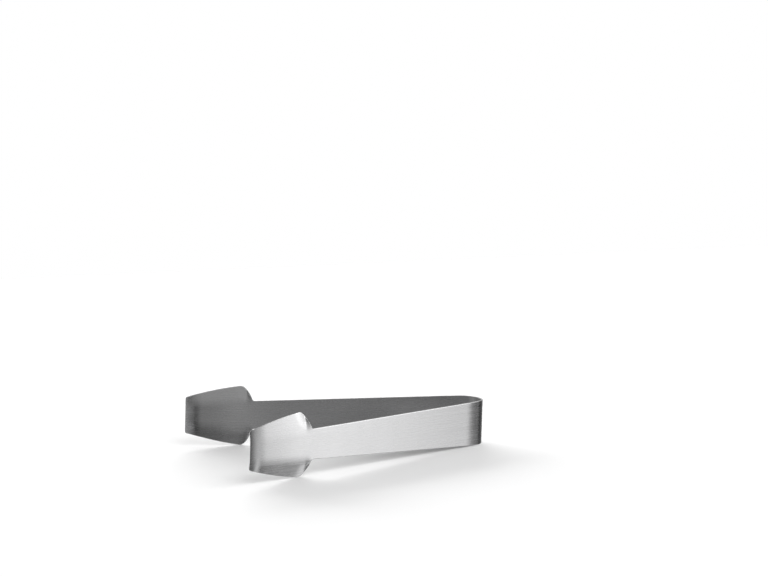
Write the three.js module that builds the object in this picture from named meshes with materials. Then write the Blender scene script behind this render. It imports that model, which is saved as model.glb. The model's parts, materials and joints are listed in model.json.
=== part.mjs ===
// Ice tongs: one strip of satin stainless steel, bent into a spring bow, with two arms that
// taper to a neck and end in pressed scoop jaws. Millimetres, +Z up.
//
// The real tongs are one piece of metal. The strip is divided here only where it flexes when
// the arms are squeezed, and at each neck, where the flat arm ends and the pressed jaw starts.
//
// The tongs lie on edge, as they do on a bar top. The bow points along +X and the jaws along
// -X. The left arm (seen from the bow) is on the -Y side.

import * as THREE from 'three';

// Strip.
const THICKNESS = 1.0;
const BOW_WIDTH = 24;
const NECK_WIDTH = 15.4;
const GAP = 0.3;

// Bow: an arc about an upright axis, which leaves each arm at an angle to the middle plane.
const BOW_RADIUS = 11.8;
const ARM_ANGLE = THREE.MathUtils.degToRad(17);
const BOW_SEGMENTS = 48;

// Distances along an arm, from the end of the bow's arc.
const FIRST_FLEX = 15;
const SECOND_FLEX = 46;
const NECK = 113.4;
const JAW_LENGTH = 36.9;

// Jaw blank: the half-width rises steeply from the neck, turns a soft corner, and then falls
// slowly along a slightly bowed side to a straight tip with small corners.
const SHOULDER_RISE = 2.7;
const SHOULDER_SOFTNESS = 11.2;
const SIDE_HALF_WIDTH = 17.35;
const SIDE_TAPER = 0.2;
const SIDE_BULGE = 1.0;
const TIP_CORNER_RADIUS = 0.85;

// Jaw pressing: a shallow scoop, pressed towards the other arm. The side wings are folded in, the
// shoulders curl in, and the floor dips slowly towards the tip, where it ends in a small lip.
const FOLD_HALF_WIDTH = 8.4;
const FOLD_TAPER = 0.055;
const FOLD_SOFTNESS = 3.2;
const WING_SLOPE = 0.25;
const WING_RUN_IN = 4;
const CURL_WIDTH = 4;
const CURL_SOFTNESS = 3;
const CURL_SLOPE = 0.14;
const CURL_RUN_IN = 4;
const SCOOP_DEPTH = 0.8;
const LIP_LENGTH = 7;
const LIP_DEPTH = 1.1;
const JAW_ROWS = 24;
const JAW_COLUMNS = 16;
const JAW_ROW_CROWDING = 0.85;

function steel(color) {
  return new THREE.MeshStandardMaterial({ color, roughness: 0.34, metalness: 1.0 });
}

function smoothstep(start, end, value) {
  return THREE.MathUtils.smoothstep(value, start, end);
}

// Half the strip's width at a distance along the arm. The sides are straight up to the neck.
function armHalfWidth(along) {
  return THREE.MathUtils.lerp(BOW_WIDTH, NECK_WIDTH, along / NECK) / 2;
}

// Half the jaw's width at a distance from the neck.
function jawHalfWidth(along) {
  const reach = along / JAW_LENGTH;
  const shoulder = NECK_WIDTH / 2 + SHOULDER_RISE * along;
  const side = SIDE_HALF_WIDTH - SIDE_TAPER * along + SIDE_BULGE * 4 * reach * (1 - reach);
  const near = Math.max(SHOULDER_SOFTNESS - Math.abs(shoulder - side), 0);
  const outline = Math.min(shoulder, side) - (near * near) / (4 * SHOULDER_SOFTNESS);
  const pastCorner = Math.max(along - (JAW_LENGTH - TIP_CORNER_RADIUS), 0);
  const rounding = Math.sqrt(Math.max(TIP_CORNER_RADIUS ** 2 - pastCorner ** 2, 0));
  return outline - (TIP_CORNER_RADIUS - rounding);
}

// Nothing before a fold line and the full distance past it, with a soft bend between the two.
function softened(pastLine, softness) {
  const inBend = Math.min(Math.max(pastLine + softness, 0), 2 * softness);
  return (inBend * inBend) / (4 * softness) + Math.max(pastLine - softness, 0);
}

// How far the pressed sheet stands in from the arm's plane, towards the other arm.
function jawDepth(along, across) {
  const offMiddle = Math.abs(across);
  const pastNeck = smoothstep(0, WING_RUN_IN, along);
  const pastFold = offMiddle - (FOLD_HALF_WIDTH - FOLD_TAPER * along);
  const wing = WING_SLOPE * softened(pastFold, FOLD_SOFTNESS) * pastNeck;

  const besideNeck = offMiddle - NECK_WIDTH / 2;
  const fromShoulder = (SHOULDER_RISE * along - besideNeck) / Math.hypot(SHOULDER_RISE, 1);
  const curled = softened(CURL_WIDTH - fromShoulder, CURL_SOFTNESS);
  const curl = CURL_SLOPE * curled * pastNeck * smoothstep(0, CURL_RUN_IN, besideNeck);

  const scoop = SCOOP_DEPTH * (along / JAW_LENGTH) ** 2;
  const intoLip = Math.max(along - (JAW_LENGTH - LIP_LENGTH), 0) / LIP_LENGTH;
  return wing + curl + scoop + LIP_DEPTH * intoLip ** 2;
}

// The bow lies about the world's upright axis through the centre of its arc.
function bowGeometry() {
  const cut = GAP / 2 / BOW_RADIUS;
  const end = Math.PI / 2 - ARM_ANGLE - cut;
  const plan = new THREE.Shape();
  plan.absarc(0, 0, BOW_RADIUS + THICKNESS / 2, -end, end, false);
  plan.absarc(0, 0, BOW_RADIUS - THICKNESS / 2, end, -end, true);
  const geometry = new THREE.ExtrudeGeometry(plan, {
    depth: BOW_WIDTH,
    bevelEnabled: false,
    curveSegments: BOW_SEGMENTS,
  });
  geometry.translate(0, 0, -BOW_WIDTH / 2);
  return geometry;
}

// A flat length of the arm: +X runs along it, Y is through the sheet and Z is across it.
function armGeometry(from, to) {
  const start = from + GAP / 2;
  const end = to - GAP / 2;
  const side = new THREE.Shape();
  side.moveTo(start, -armHalfWidth(start));
  side.lineTo(end, -armHalfWidth(end));
  side.lineTo(end, armHalfWidth(end));
  side.lineTo(start, armHalfWidth(start));
  side.closePath();
  const geometry = new THREE.ExtrudeGeometry(side, { depth: THICKNESS, bevelEnabled: false });
  geometry.rotateX(Math.PI / 2);
  geometry.translate(0, THICKNESS / 2, 0);
  return geometry;
}

// Distances from the neck of the jaw's rows, crowded at the shoulder and at the lip.
function jawRows() {
  const rows = [];
  for (let row = 0; row <= JAW_ROWS; row += 1) {
    const turn = (2 * Math.PI * row) / JAW_ROWS;
    const crowded = row / JAW_ROWS - (JAW_ROW_CROWDING * Math.sin(turn)) / (2 * Math.PI);
    rows.push(THREE.MathUtils.lerp(GAP / 2, JAW_LENGTH, crowded));
  }
  return rows;
}

// The pressed jaw: an outer and an inner face of the same sheet, closed along its four edges.
// Inward is +1 where the other arm lies on the +Y side of this one, and -1 where it doesn't.
function jawGeometry(inward) {
  const rows = jawRows();
  const vertices = [];
  const triangles = [];
  for (const face of [-1, 1]) {
    for (const along of rows) {
      for (let column = 0; column <= JAW_COLUMNS; column += 1) {
        const across = ((2 * column) / JAW_COLUMNS - 1) * jawHalfWidth(along);
        const through = jawDepth(along, across) + (face * THICKNESS) / 2;
        vertices.push(along, inward * through, across);
      }
    }
  }

  const perFace = rows.length * (JAW_COLUMNS + 1);
  const outer = (row, column) => row * (JAW_COLUMNS + 1) + column;
  const inner = (row, column) => perFace + outer(row, column);
  const quad = (a, b, c, d) => {
    if (inward > 0) {
      triangles.push(a, b, c, a, c, d);
    } else {
      triangles.push(a, c, b, a, d, c);
    }
  };
  const last = rows.length - 1;
  for (let row = 0; row < last; row += 1) {
    for (let column = 0; column < JAW_COLUMNS; column += 1) {
      const nextRow = row + 1;
      const next = column + 1;
      quad(outer(row, column), outer(nextRow, column), outer(nextRow, next), outer(row, next));
      quad(inner(row, column), inner(row, next), inner(nextRow, next), inner(nextRow, column));
    }
    quad(outer(row, 0), inner(row, 0), inner(row + 1, 0), outer(row + 1, 0));
    quad(
      outer(row, JAW_COLUMNS),
      outer(row + 1, JAW_COLUMNS),
      inner(row + 1, JAW_COLUMNS),
      inner(row, JAW_COLUMNS),
    );
  }
  for (let column = 0; column < JAW_COLUMNS; column += 1) {
    const next = column + 1;
    quad(outer(0, column), outer(0, next), inner(0, next), inner(0, column));
    quad(outer(last, column), inner(last, column), inner(last, next), outer(last, next));
  }

  const geometry = new THREE.BufferGeometry();
  geometry.setAttribute('position', new THREE.Float32BufferAttribute(vertices, 3));
  geometry.setIndex(triangles);
  geometry.computeVertexNormals();
  return geometry;
}

function named(name, geometry, color) {
  const mesh = new THREE.Mesh(geometry, steel(color));
  mesh.name = name;
  return mesh;
}

// One arm with its jaw. Its frame starts at the end of the bow's arc and runs along the arm.
function buildArm(name, side) {
  const arm = new THREE.Group();
  arm.position.x = -BOW_RADIUS * (1 - Math.sin(ARM_ANGLE));
  arm.position.y = side * BOW_RADIUS * Math.cos(ARM_ANGLE);
  arm.rotation.z = Math.PI - side * ARM_ANGLE;
  arm.add(named(`${name}_root`, armGeometry(0, FIRST_FLEX), 0xc9c9ca));
  arm.add(named(`${name}_shank`, armGeometry(FIRST_FLEX, SECOND_FLEX), 0xcacacb));
  arm.add(named(`${name}_grip`, armGeometry(SECOND_FLEX, NECK), 0xcbcbcc));
  const jaw = named(`${name}_jaw`, jawGeometry(side), 0xc6c6c8);
  jaw.position.x = NECK;
  arm.add(jaw);
  return arm;
}

function buildBow() {
  const bow = named('bow', bowGeometry(), 0xc2c2c4);
  bow.position.x = -BOW_RADIUS;
  return bow;
}

// The jaws are wider than the bow, so on a flat surface the tip end is lifted a little: the
// lower edge of the bow and the lower corner of each jaw touch the surface together.
function restingTilt() {
  const bowEnd = THICKNESS / 2;
  const slopes = jawRows().map((along) => {
    const reach = bowEnd + BOW_RADIUS * (1 - Math.sin(ARM_ANGLE)) + (NECK + along) * Math.cos(ARM_ANGLE);
    return Math.atan2(jawHalfWidth(along) - BOW_WIDTH / 2, reach);
  });
  return Math.max(...slopes);
}

// The origin is on the surface that the tongs lie on, under the middle of their outline.
function buildTongs() {
  const lying = new THREE.Group();
  lying.rotation.y = restingTilt();
  lying.add(buildBow());
  lying.add(buildArm('left', -1));
  lying.add(buildArm('right', 1));

  const box = new THREE.Box3().setFromObject(lying, true);
  const middle = box.getCenter(new THREE.Vector3());
  lying.position.set(-middle.x, -middle.y, -box.min.z);

  const tongs = new THREE.Group();
  tongs.add(lying);
  return tongs;
}

export default buildTongs();
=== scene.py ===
import json
import math

import bmesh
import bpy
from mathutils import Matrix, Quaternion, Vector


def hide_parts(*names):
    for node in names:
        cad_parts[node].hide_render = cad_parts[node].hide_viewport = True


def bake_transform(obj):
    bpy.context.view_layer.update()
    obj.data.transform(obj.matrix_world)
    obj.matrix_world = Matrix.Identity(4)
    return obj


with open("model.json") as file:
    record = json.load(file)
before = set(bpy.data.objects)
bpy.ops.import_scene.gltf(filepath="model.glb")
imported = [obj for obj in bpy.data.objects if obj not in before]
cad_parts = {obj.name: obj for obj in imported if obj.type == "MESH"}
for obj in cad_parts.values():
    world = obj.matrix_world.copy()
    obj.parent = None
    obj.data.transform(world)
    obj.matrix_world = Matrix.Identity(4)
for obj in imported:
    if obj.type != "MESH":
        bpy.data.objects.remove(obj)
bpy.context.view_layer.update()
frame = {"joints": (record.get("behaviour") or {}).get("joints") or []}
mm = 0.001

# ---------------------------------------------------------------------------------------------
# The blank. The tongs start as one flat blank, stamped from 1 mm stainless sheet: a strip that
# is widest in the middle, narrows to a neck on each side, and ends in two broad jaw shapes.
# It lies on the XY plane here, with X along the strip from the middle and Y across it.

sheet_thickness = 1.0 * mm
bow_width = 24 * mm
neck_width = 15.4 * mm
bow_radius, bow_turn = 11.17 * mm, math.radians(65)
ease_length, ease_turn = 8 * mm, math.radians(8)
arm_length = 115.6 * mm
jaw_length = 36.9 * mm
shoulder_rise = 2.7
rim_steps = [0.0, 0.35 * mm, 0.8 * mm]
rim_reach = 1.2 * mm
half_bow = bow_radius * bow_turn
neck_at = half_bow + arm_length
tip_at = neck_at + jaw_length


def jaw_half_width(past_neck):
    """The jaw's outline: a steep shoulder, a soft corner, a slightly bowed side, a small tip corner."""
    shoulder_softness = 11.2 * mm
    side_half_width, side_taper, side_bulge = 17.12 * mm, 0.2, 1.0 * mm
    tip_corner = 0.85 * mm
    share = past_neck / jaw_length
    shoulder = neck_width / 2 + shoulder_rise * past_neck
    side = side_half_width - side_taper * past_neck + side_bulge * 4 * share * (1 - share)
    near = max(shoulder_softness - abs(shoulder - side), 0)
    outline = min(shoulder, side) - near * near / (4 * shoulder_softness)
    past_corner = max(past_neck - (jaw_length - tip_corner), 0)
    return outline - (tip_corner - math.sqrt(max(tip_corner**2 - past_corner**2, 0)))


def strip_half_width(along):
    """Half the blank's width at a distance from the middle, with a small fillet in the neck."""
    neck_fillet = 0.8 * mm
    on_arm = min(max(along - half_bow, 0), arm_length)
    arm = bow_width / 2 + (neck_width - bow_width) / 2 * on_arm / arm_length
    if along <= neck_at - neck_fillet:
        return arm
    jaw = jaw_half_width(max(along - neck_at, 0))
    past = along - neck_at
    rounding = max(neck_fillet - abs(past), 0)
    return max(jaw, arm) + 0.5 * rounding * rounding / neck_fillet


def stations():
    """Distances from the middle of the rows of the blank, close together wherever it will curve."""

    def stretch(start, end, count, crowding=0.0):
        for step in range(count):
            turn = 2 * math.pi * step / count
            yield start + (end - start) * (step / count - crowding * math.sin(turn) / (2 * math.pi))

    beside_middle_cut, first_row = 0.05 * mm, 0.25 * mm
    end_of_flexing = half_bow + 60 * mm
    neck_reach = 1.5 * mm
    rows = [0.0, beside_middle_cut]
    rows += stretch(first_row, half_bow, 60)
    rows += stretch(half_bow, end_of_flexing, 40)
    rows += stretch(end_of_flexing, neck_at - neck_reach, 14)
    rows += stretch(neck_at - neck_reach, neck_at + neck_reach, 10)
    rows += stretch(neck_at + neck_reach, tip_at - rim_reach, 76, 0.5)
    rows += [tip_at - step for step in reversed(rim_steps)]
    return rows


def cut_blank():
    """One quad mesh over the whole blank, with close columns along each edge, where it is tumbled."""
    inner_columns = 30
    probe, steepest = 0.1 * mm, 3
    half = stations()
    rows = [-along for along in reversed(half[1:])] + half
    points, rims = [], []
    for along in rows:
        reach = abs(along)
        width = strip_half_width(reach)
        near = min(reach, tip_at - rim_reach)
        slope = (strip_half_width(near + probe) - strip_half_width(near - probe)) / (2 * probe)
        stretch = math.sqrt(1 + min(slope * slope, steepest * steepest))
        insets = [step * stretch for step in rim_steps]
        flat = width - insets[-1]
        inner = [flat * (2 * step / inner_columns - 1) for step in range(1, inner_columns)]
        across = [inset - width for inset in insets] + inner
        across += [width - inset for inset in reversed(insets)]
        for offset in across:
            points.append((along, offset, 0))
            rims.append(min((width - abs(offset)) / stretch, tip_at - reach))
    columns = len(across)
    faces = []
    for row in range(len(rows) - 1):
        for column in range(columns - 1):
            corner = row * columns + column
            faces.append((corner, corner + columns, corner + columns + 1, corner + 1))
    mesh = bpy.data.meshes.new("blank")
    mesh.from_pydata(points, [], faces)
    layout = mesh.uv_layers.new(name="strip")
    for loop in mesh.loops:
        x, y, _ = mesh.vertices[loop.vertex_index].co
        layout.data[loop.index].uv = (x, y)
    rim = mesh.attributes.new("rim", "FLOAT", "POINT")
    rim.data.foreach_set("value", rims)
    blank = bpy.data.objects.new("blank", mesh)
    bpy.context.scene.collection.objects.link(blank)
    return blank


# ---------------------------------------------------------------------------------------------
# The finish. The sheet is 18/8 stainless steel with a satin face: it was drawn lengthwise over
# a fine belt, so a close grain runs along the strip, and the edges were tumbled smooth and
# bright. Use has left a few hairlines and faint smears.


def satin_steel():
    steel = bpy.data.materials.new("satin_steel")
    steel.use_nodes = True
    tree = steel.node_tree
    nodes, links = tree.nodes, tree.links
    shader = nodes["Principled BSDF"]
    shader.inputs["Metallic"].default_value = 1.0
    shader.inputs["Anisotropic"].default_value = 0.84
    shader.inputs["Anisotropic Rotation"].default_value = 0.25

    layout = nodes.new("ShaderNodeUVMap")
    layout.uv_map = "strip"
    grain_line = nodes.new("ShaderNodeTangent")
    grain_line.direction_type = "UV_MAP"
    grain_line.uv_map = "strip"
    links.new(grain_line.outputs["Tangent"], shader.inputs["Tangent"])

    def grain(along, across, detail, turn=0.0):
        """Noise stretched along the strip: along and across are its cycles per metre."""
        place = nodes.new("ShaderNodeMapping")
        place.inputs["Rotation"].default_value = (0, 0, turn)
        place.inputs["Scale"].default_value = (along, across, 1)
        links.new(layout.outputs["UV"], place.inputs["Vector"])
        noise = nodes.new("ShaderNodeTexNoise")
        noise.inputs["Scale"].default_value = 1.0
        noise.inputs["Detail"].default_value = detail
        links.new(place.outputs["Vector"], noise.inputs["Vector"])
        return noise.outputs["Fac"]

    def rescale(value, low, high, new_low, new_high):
        step = nodes.new("ShaderNodeMapRange")
        step.inputs["From Min"].default_value = low
        step.inputs["From Max"].default_value = high
        step.inputs["To Min"].default_value = new_low
        step.inputs["To Max"].default_value = new_high
        links.new(value, step.inputs["Value"])
        return step.outputs["Result"]

    def combine(operation, first, second):
        step = nodes.new("ShaderNodeMath")
        step.operation = operation
        for socket, value in zip(step.inputs, (first, second)):
            if isinstance(value, float):
                socket.default_value = value
            else:
                links.new(value, socket)
        return step.outputs["Value"]

    belt_lines = grain(55, 6500, 3)
    streaks = grain(14, 900, 4)
    smears = grain(90, 70, 3, 0.4)
    hairlines = rescale(grain(9, 1900, 1, 0.1), 0.68, 0.80, 0.0, 1.0)

    edge = nodes.new("ShaderNodeAttribute")
    edge.attribute_name = "rim"
    tumbled = rescale(edge.outputs["Fac"], 0.0, 0.5 * mm, 1.0, 0.0)

    belt_tone = rescale(belt_lines, 0.3, 0.7, -0.02, 0.02)
    streak_tone = rescale(streaks, 0.3, 0.7, -0.018, 0.018)
    tone = combine("ADD", belt_tone, streak_tone)
    tone = combine("ADD", tone, combine("MULTIPLY", tumbled, 0.05))
    tone = combine("ADD", tone, 0.5)
    colour = nodes.new("ShaderNodeValToRGB")
    colour.color_ramp.elements[0].position = 0.4
    colour.color_ramp.elements[0].color = (0.60, 0.60, 0.605, 1)
    colour.color_ramp.elements[1].position = 0.6
    colour.color_ramp.elements[1].color = (0.80, 0.80, 0.805, 1)
    links.new(tone, colour.inputs["Fac"])
    links.new(colour.outputs["Color"], shader.inputs["Base Color"])

    belt_roughness = rescale(belt_lines, 0.3, 0.7, 0.24, 0.29)
    smear_roughness = rescale(smears, 0.3, 0.7, -0.01, 0.015)
    rough = combine("ADD", belt_roughness, smear_roughness)
    rough = combine("ADD", rough, rescale(streaks, 0.3, 0.7, -0.02, 0.02))
    rough = combine("SUBTRACT", rough, combine("MULTIPLY", tumbled, 0.08))
    links.new(rough, shader.inputs["Roughness"])

    height = combine("ADD", combine("MULTIPLY", belt_lines, 0.8), combine("MULTIPLY", streaks, 0.6))
    height = combine("SUBTRACT", height, combine("MULTIPLY", hairlines, 0.3))
    bump = nodes.new("ShaderNodeBump")
    bump.inputs["Strength"].default_value = 0.25
    bump.inputs["Distance"].default_value = 0.01 * mm
    links.new(height, bump.inputs["Height"])
    links.new(bump.outputs["Normal"], shader.inputs["Normal"])
    return steel


steel = satin_steel()

# ---------------------------------------------------------------------------------------------
# Pressing and bending. A die folds the two wings of each jaw inwards, rolls its shoulders and
# curls its tip. The strip is then bent round a mandrel, so the bow is an arc that eases into the
# arms. The node tree moves each point of the flat blank to its place on the formed strip.


def forming_tree():
    tree = bpy.data.node_groups.new("press_and_bend", "GeometryNodeTree")
    sockets = {}

    def size(name, value, kind="NodeSocketFloat"):
        socket = tree.interface.new_socket(name, in_out="INPUT", socket_type=kind)
        sockets[name] = (socket.identifier, value)

    tree.interface.new_socket("Blank", in_out="INPUT", socket_type="NodeSocketGeometry")
    size("Bow radius", bow_radius)
    size("Half bow", half_bow)
    size("Ease length", ease_length)
    size("Ease radius", ease_length / ease_turn)
    size("Neck", neck_at)
    size("Fold half width", 8.4 * mm)
    size("Fold taper", 0.055)
    size("Fold softness", 3.2 * mm)
    size("Wing slope", 0.25)
    size("Wing run-in", 4 * mm)
    size("Neck half width", neck_width / 2)
    size("Shoulder rise", shoulder_rise)
    size("Curl width", 4 * mm)
    size("Curl softness", 3 * mm)
    size("Curl slope", 0.14)
    size("Curl run-in", 4 * mm)
    size("Scoop depth", 0.8 * mm)
    size("Scoop length", jaw_length)
    size("Lip depth", 1.1 * mm)
    size("Lip length", 9.5 * mm)
    size("Steel", steel, "NodeSocketMaterial")
    tree.interface.new_socket("Strip", in_out="OUTPUT", socket_type="NodeSocketGeometry")

    nodes, links = tree.nodes, tree.links
    given = nodes.new("NodeGroupInput").outputs
    result = nodes.new("NodeGroupOutput").inputs

    def maths(operation, *values):
        step = nodes.new("ShaderNodeMath")
        step.operation = operation
        for socket, value in zip(step.inputs, values):
            if isinstance(value, (int, float)):
                socket.default_value = value
            else:
                links.new(value, socket)
        return step.outputs["Value"]

    def add(a, b):
        return maths("ADD", a, b)

    def subtract(a, b):
        return maths("SUBTRACT", a, b)

    def times(a, b):
        return maths("MULTIPLY", a, b)

    flat = nodes.new("ShaderNodeSeparateXYZ")
    links.new(nodes.new("GeometryNodeInputPosition").outputs["Position"], flat.inputs["Vector"])
    along = maths("ABSOLUTE", flat.outputs["X"])
    side = maths("SIGN", flat.outputs["X"])
    across = flat.outputs["Y"]
    past_neck = subtract(along, given["Neck"])

    def softened(distance, softness):
        """Nothing before a fold line and the full distance past it, with a soft bend between."""
        in_bend = maths("MINIMUM", maths("MAXIMUM", add(distance, softness), 0.0), times(softness, 2.0))
        on_flat = maths("MAXIMUM", subtract(distance, softness), 0.0)
        return add(maths("DIVIDE", times(in_bend, in_bend), times(softness, 4.0)), on_flat)

    def run_in(distance, length):
        step = nodes.new("ShaderNodeMapRange")
        step.interpolation_type = "SMOOTHSTEP"
        links.new(distance, step.inputs["Value"])
        links.new(length, step.inputs["From Max"])
        return step.outputs["Result"]

    def bowl(distance, length, depth, power):
        """A depth that starts gently and reaches its full value at the end of the length."""
        share = maths("DIVIDE", maths("MAXIMUM", distance, 0.0), length)
        return times(depth, maths("POWER", share, power))

    off_middle = maths("ABSOLUTE", across)
    fold_line = subtract(given["Fold half width"], times(given["Fold taper"], past_neck))
    folded = softened(subtract(off_middle, fold_line), given["Fold softness"])
    on_jaw = run_in(past_neck, given["Wing run-in"])
    wing = times(times(given["Wing slope"], folded), on_jaw)

    rise = given["Shoulder rise"]
    beside_neck = subtract(off_middle, given["Neck half width"])
    edge_length = maths("SQRT", add(times(rise, rise), 1.0))
    from_shoulder = maths("DIVIDE", subtract(times(rise, past_neck), beside_neck), edge_length)
    curled = softened(subtract(given["Curl width"], from_shoulder), given["Curl softness"])
    on_shoulder = times(on_jaw, run_in(beside_neck, given["Curl run-in"]))
    shoulder = times(times(given["Curl slope"], curled), on_shoulder)

    past_lip_start = subtract(past_neck, subtract(given["Scoop length"], given["Lip length"]))
    scoop = bowl(past_neck, given["Scoop length"], given["Scoop depth"], 2.0)
    lip = bowl(past_lip_start, given["Lip length"], given["Lip depth"], 3.0)
    depth = add(add(wing, shoulder), add(scoop, lip))

    radius, ease_radius = given["Bow radius"], given["Ease radius"]
    turn = maths("DIVIDE", maths("MINIMUM", along, given["Half bow"]), radius)
    past_bow = maths("MAXIMUM", subtract(along, given["Half bow"]), 0.0)
    eased = maths("MINIMUM", past_bow, given["Ease length"])
    straight = subtract(past_bow, eased)
    heading = add(turn, maths("DIVIDE", eased, ease_radius))
    cosine, sine = maths("COSINE", heading), maths("SINE", heading)
    to_centre = subtract(radius, ease_radius)
    inset = subtract(ease_radius, depth)
    x = add(times(to_centre, maths("COSINE", turn)), times(inset, cosine))
    x = subtract(subtract(x, times(straight, sine)), radius)
    y = add(times(to_centre, maths("SINE", turn)), times(inset, sine))
    y = add(y, times(straight, cosine))
    formed = nodes.new("ShaderNodeCombineXYZ")
    links.new(x, formed.inputs["X"])
    links.new(times(side, y), formed.inputs["Y"])
    links.new(across, formed.inputs["Z"])

    place = nodes.new("GeometryNodeSetPosition")
    links.new(given["Blank"], place.inputs["Geometry"])
    links.new(formed.outputs["Vector"], place.inputs["Position"])
    realize = nodes.new("GeometryNodeRealizeInstances")
    links.new(place.outputs["Geometry"], realize.inputs["Geometry"])
    finish = nodes.new("GeometryNodeSetMaterial")
    links.new(realize.outputs["Geometry"], finish.inputs["Geometry"])
    links.new(given["Steel"], finish.inputs["Material"])
    links.new(finish.outputs["Geometry"], result["Strip"])
    return tree, sockets


def evaluated_mesh(thing):
    """The object's mesh with its modifiers applied, as a plain mesh."""
    graph = bpy.context.evaluated_depsgraph_get()
    return bpy.data.meshes.new_from_object(thing.evaluated_get(graph), depsgraph=graph)


def form_strip():
    """Press and bend the blank, give it the sheet's thickness, and round its tumbled edges."""
    strip = cut_blank()
    tree, sockets = forming_tree()
    forming = strip.modifiers.new("press_and_bend", "NODES")
    forming.node_group = tree
    for identifier, value in sockets.values():
        forming[identifier] = value
    strip.data = evaluated_mesh(strip)
    strip.modifiers.clear()

    gauge = strip.modifiers.new("gauge", "SOLIDIFY")
    gauge.thickness = sheet_thickness
    gauge.offset = 0
    gauge.use_even_offset = True
    tumbling = strip.modifiers.new("tumbling", "BEVEL")
    tumbling.width = 0.2 * mm
    tumbling.segments = 3
    tumbling.limit_method = "ANGLE"
    tumbling.angle_limit = math.radians(50)
    strip.data = evaluated_mesh(strip)
    strip.modifiers.clear()
    return strip


strip = form_strip()

# ---------------------------------------------------------------------------------------------
# The tongs as they lie. They rest on edge, on the bow's lower edge and the lower corner of each
# jaw, as the frame's hinges say. The metal bends where the hinges are, so the one strip is taken
# in lengths that each hold one hinge, and their ends meet where the metal stays rigid. The lengths
# are left in the lying shape and are not bent here.

hinges = {joint["name"]: joint for joint in frame["joints"]}


def lying_place():
    """From the strip's own axes to the frame: the bow's arc ends lie on the first two hinges."""
    up = Vector(hinges["right_bow_flex"]["axis"]).normalized()
    ends = [Vector(hinges[name]["pos_m"]) for name in ("left_bow_flex", "right_bow_flex")]
    across_arms = (ends[1] - ends[0]).normalized()
    towards_bow = across_arms.cross(up).normalized()
    back_to_hinges = 8.35 * mm
    origin = (ends[0] + ends[1]) / 2 + towards_bow * back_to_hinges
    turned = Matrix((towards_bow, across_arms, up)).transposed().to_4x4()
    return Matrix.Translation(origin) @ turned


lying = lying_place()


def point_on_arm(side, distance):
    """A point of the strip's middle line, past the end of the bow's arc (before it if negative)."""
    eased = min(max(distance, 0), ease_length)
    straight = max(distance, 0) - eased
    ease_radius = ease_length / ease_turn
    turn = bow_turn + min(distance, 0) / bow_radius
    heading = turn + eased / ease_radius
    to_centre = bow_radius - ease_radius
    end_of_ease = to_centre * math.cos(turn) + ease_radius * math.cos(heading)
    x = end_of_ease - straight * math.sin(heading) - bow_radius
    y = to_centre * math.sin(turn) + ease_radius * math.sin(heading) + straight * math.cos(heading)
    return Vector((x, side * y, 0))


def cut_length(name, cuts):
    """A copy of the strip between the cuts, each a point and the direction that is kept."""
    touching = 1e-8
    mesh = strip.data.copy()
    mesh.name = name
    work = bmesh.new()
    work.from_mesh(mesh)
    for point, kept in cuts:
        everything = work.verts[:] + work.edges[:] + work.faces[:]
        bmesh.ops.bisect_plane(
            work, geom=everything, dist=touching, plane_co=point, plane_no=kept, clear_inner=True)
        open_edges = [edge for edge in work.edges if edge.is_boundary]
        end = bmesh.ops.holes_fill(work, edges=open_edges, sides=0)["faces"]
        for face in work.faces:
            face.smooth = True
        for face in end:
            for edge in face.edges:
                edge.smooth = False
    work.to_mesh(mesh)
    work.free()
    mesh.transform(lying)
    length = bpy.data.objects.new(name, mesh)
    bpy.context.scene.collection.objects.link(length)
    return length


def arm_lengths(name, side):
    """One side's three lengths, each holding one hinge; they are left as they lie and are not bent."""
    bow_hinge, root_hinge, arm_hinge = 2.2 * mm, 17.2 * mm, 48.2 * mm
    middle = (Vector((0, 0, 0)), Vector((0, side, 0)))
    root_cut, shank_cut = point_on_arm(side, 9.2 * mm), point_on_arm(side, 31.2 * mm)
    outwards = (point_on_arm(side, 20 * mm) - point_on_arm(side, 19 * mm)).normalized()

    def bend(piece, start, end):
        start, end = lying @ point_on_arm(side, start), lying @ point_on_arm(side, end)
        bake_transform(piece)

    first = cut_length(f"{name}_bow_half", [middle, (root_cut, -outwards)])
    bend(first, bow_hinge - 8 * mm, bow_hinge + 6 * mm)
    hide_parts("bow", f"{name}_root")

    cuts = [middle, (root_cut, outwards), (shank_cut, -outwards)]
    second = cut_length(f"{name}_spring_length", cuts)
    bend(second, root_hinge - 7.5 * mm, root_hinge + 9 * mm)
    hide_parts(f"{name}_shank")

    third = cut_length(f"{name}_arm_and_jaw", [middle, (shank_cut, outwards)])
    bend(third, arm_hinge - 15 * mm, arm_hinge + 15 * mm)
    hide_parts(f"{name}_grip", f"{name}_jaw")


arm_lengths("left", -1)
arm_lengths("right", 1)
bpy.data.objects.remove(strip)

# ---------------------------------------------------------------------------------------------
# The table and the light. The table is plain and pale, and two soft boxes light it. The steel
# mirrors the room: a bright wall to the front right, dark walls on both sides of it, and a
# grey ceiling. The room's brightness is given in rings, from the table's side up to the ceiling.


def pale_table():
    table_width = 2
    bpy.ops.mesh.primitive_plane_add(size=table_width, location=(0, 0, 0))
    table = bpy.context.object
    table.name = "table"
    paint = bpy.data.materials.new("pale_table")
    paint.use_nodes = True
    shader = paint.node_tree.nodes["Principled BSDF"]
    shader.inputs["Base Color"].default_value = (0.88, 0.88, 0.88, 1)
    shader.inputs["Roughness"].default_value = 0.7
    table.data.materials.append(paint)
    table.visible_glossy = False


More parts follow.
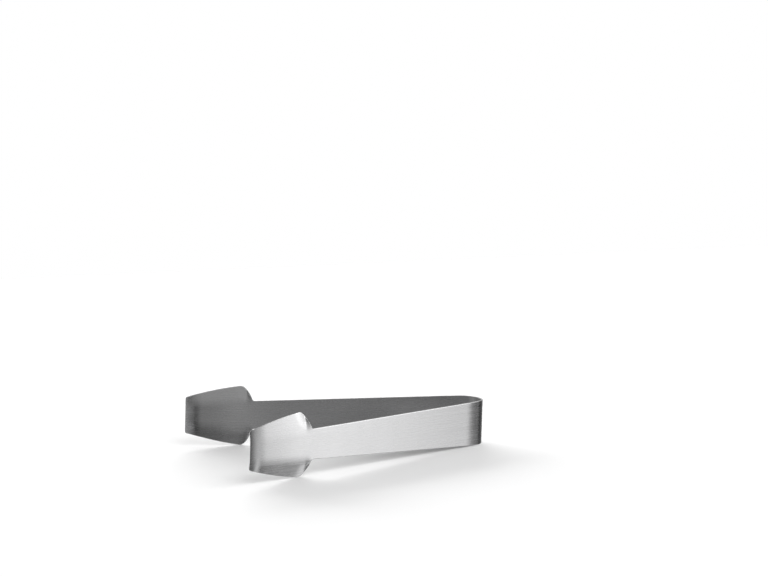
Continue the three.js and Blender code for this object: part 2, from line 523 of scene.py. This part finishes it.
def soft_room():
    world = bpy.data.worlds.new("soft_room")
    world.use_nodes = True
    bpy.context.scene.world = world
    tree = world.node_tree
    nodes, links = tree.nodes, tree.links
    background = nodes["Background"]
    direction = nodes.new("ShaderNodeTexCoord")
    parts = nodes.new("ShaderNodeSeparateXYZ")
    links.new(direction.outputs["Generated"], parts.inputs["Vector"])
    azimuth = nodes.new("ShaderNodeMath")
    azimuth.operation = "ARCTAN2"
    links.new(parts.outputs["Y"], azimuth.inputs[0])
    links.new(parts.outputs["X"], azimuth.inputs[1])
    turn = nodes.new("ShaderNodeMapRange")
    turn.inputs["From Min"].default_value = -math.pi
    turn.inputs["From Max"].default_value = math.pi
    links.new(azimuth.outputs["Value"], turn.inputs["Value"])

    def band(shades):
        """A ring of the room: its brightness at each compass angle, in degrees from the bow's axis."""
        ramp = nodes.new("ShaderNodeValToRGB")
        elements = ramp.color_ramp.elements
        while len(elements) < len(shades):
            elements.new(0.5)
        for element, (degrees, shade) in zip(elements, shades):
            element.position = (degrees + 180) / 360
            element.color = (shade, shade, shade, 1)
        links.new(turn.outputs["Result"], ramp.inputs["Fac"])
        return ramp.outputs["Color"]

    colour_a, colour_b, mixed_colour = 6, 7, 2

    def blend_by_height(below, above, start, end):
        """From one band to the next between two heights, where 0 is level and 1 is overhead."""
        height = nodes.new("ShaderNodeMapRange")
        height.interpolation_type = "SMOOTHSTEP"
        height.inputs["From Min"].default_value = start
        height.inputs["From Max"].default_value = end
        links.new(parts.outputs["Z"], height.inputs["Value"])
        mix = nodes.new("ShaderNodeMix")
        mix.data_type = "RGBA"
        links.new(height.outputs["Result"], mix.inputs["Factor"])
        links.new(below, mix.inputs[colour_a])
        if isinstance(above, float):
            mix.inputs[colour_b].default_value = (above, above, above, 1)
        else:
            links.new(above, mix.inputs[colour_b])
        return mix.outputs[mixed_colour]

    table_side = band([
        (-180, 0.3), (-104, 0.4), (-70, 0.12), (-60, 0.12), (-56, 0.8), (-49, 0.9), (-45, 0.05),
        (-31, 0.03), (-23, 0.9), (-8, 0.9), (8, 0.3), (60, 0.3), (180, 0.3)])
    eye_level = band([
        (-180, 0.25), (-168, 0.25), (-152, 0.06), (-125, 0.08), (-112, 0.26), (-106, 0.36),
        (-101, 0.1), (-97, 0.0), (-80, 0.04), (-66, 0.42), (-50, 0.6), (-43, 0.75), (-39, 0.98),
        (-35, 1.7), (-33, 1.5), (-31, 1.0), (-28, 0.55), (-24, 0.16), (-20, 0.03), (5, 0.0),
        (25, 0.1), (55, 0.3), (70, 0.8), (120, 0.8), (140, 0.2), (160, 0.3), (180, 0.25)])
    upper_wall = band([
        (-180, 0.03), (-130, 0.02), (-104, 0.06), (-80, 0.1), (-65, 0.2), (-55, 0.4), (-42, 0.35),
        (-35, 0.9), (-28, 2.9), (0, 1.8), (20, 0.6), (40, 0.5), (100, 0.5), (150, 0.1), (180, 0.03)])
    ceiling = 0.6
    room = blend_by_height(table_side, eye_level, -0.48, -0.24)
    room = blend_by_height(room, upper_wall, 0.15, 0.4)
    room = blend_by_height(room, ceiling, 0.75, 0.95)

    seen = nodes.new("ShaderNodeLightPath")
    shown = nodes.new("ShaderNodeMix")
    shown.data_type = "RGBA"
    links.new(seen.outputs["Is Camera Ray"], shown.inputs["Factor"])
    links.new(room, shown.inputs[colour_a])
    shown.inputs[colour_b].default_value = (1, 1, 1, 1)
    links.new(shown.outputs[mixed_colour], background.inputs["Color"])


def soft_box(name, place, size, watts):
    """A soft box facing the middle of the table, which neither the camera nor the steel sees."""
    light = bpy.data.lights.new(name, "AREA")
    light.shape = "RECTANGLE"
    light.size, light.size_y = size
    light.energy = watts
    lamp = bpy.data.objects.new(name, light)
    bpy.context.scene.collection.objects.link(lamp)
    lamp.location = place
    lamp.rotation_mode = "QUATERNION"
    lamp.rotation_quaternion = (-Vector(place)).to_track_quat("-Z", "Y")
    lamp.visible_camera = False
    lamp.visible_glossy = False


pale_table()
soft_room()
soft_box("front_soft_box", place=(0.1, -0.9, 0.75), size=(1.2, 1.0), watts=9)
soft_box("back_soft_box", place=(0, 1.3, 0.5), size=(1.6, 0.5), watts=27)
bpy.context.scene.view_settings.view_transform = "Standard"

# ---------------------------------------------------------------------------------------------
# The camera looks down a little at the tongs from the left arm's side, with the jaws at its
# left. It is a long lens, close to level, and it leans a fraction of a degree.


def camera():
    back_of_bow = lying @ Vector((0, 0, 0))
    lens = bpy.data.cameras.new("camera")
    lens.sensor_width = 36
    lens.lens = 78.75
    lens.clip_start = 0.01
    view = bpy.data.objects.new("camera", lens)
    bpy.context.scene.collection.objects.link(view)
    behind_bow, in_front, height = 0.4177, 0.819, 0.1838
    view.location = (back_of_bow.x - behind_bow, -in_front, height)
    turn, dip, roll = math.radians(66.24), math.radians(6.12), math.radians(-0.22)
    looks = Vector((math.cos(turn), math.sin(turn), -math.tan(dip)))
    view.rotation_mode = "QUATERNION"
    view.rotation_quaternion = looks.to_track_quat("-Z", "Y") @ Quaternion((0, 0, 1), roll)
    bpy.context.scene.camera = view


camera()
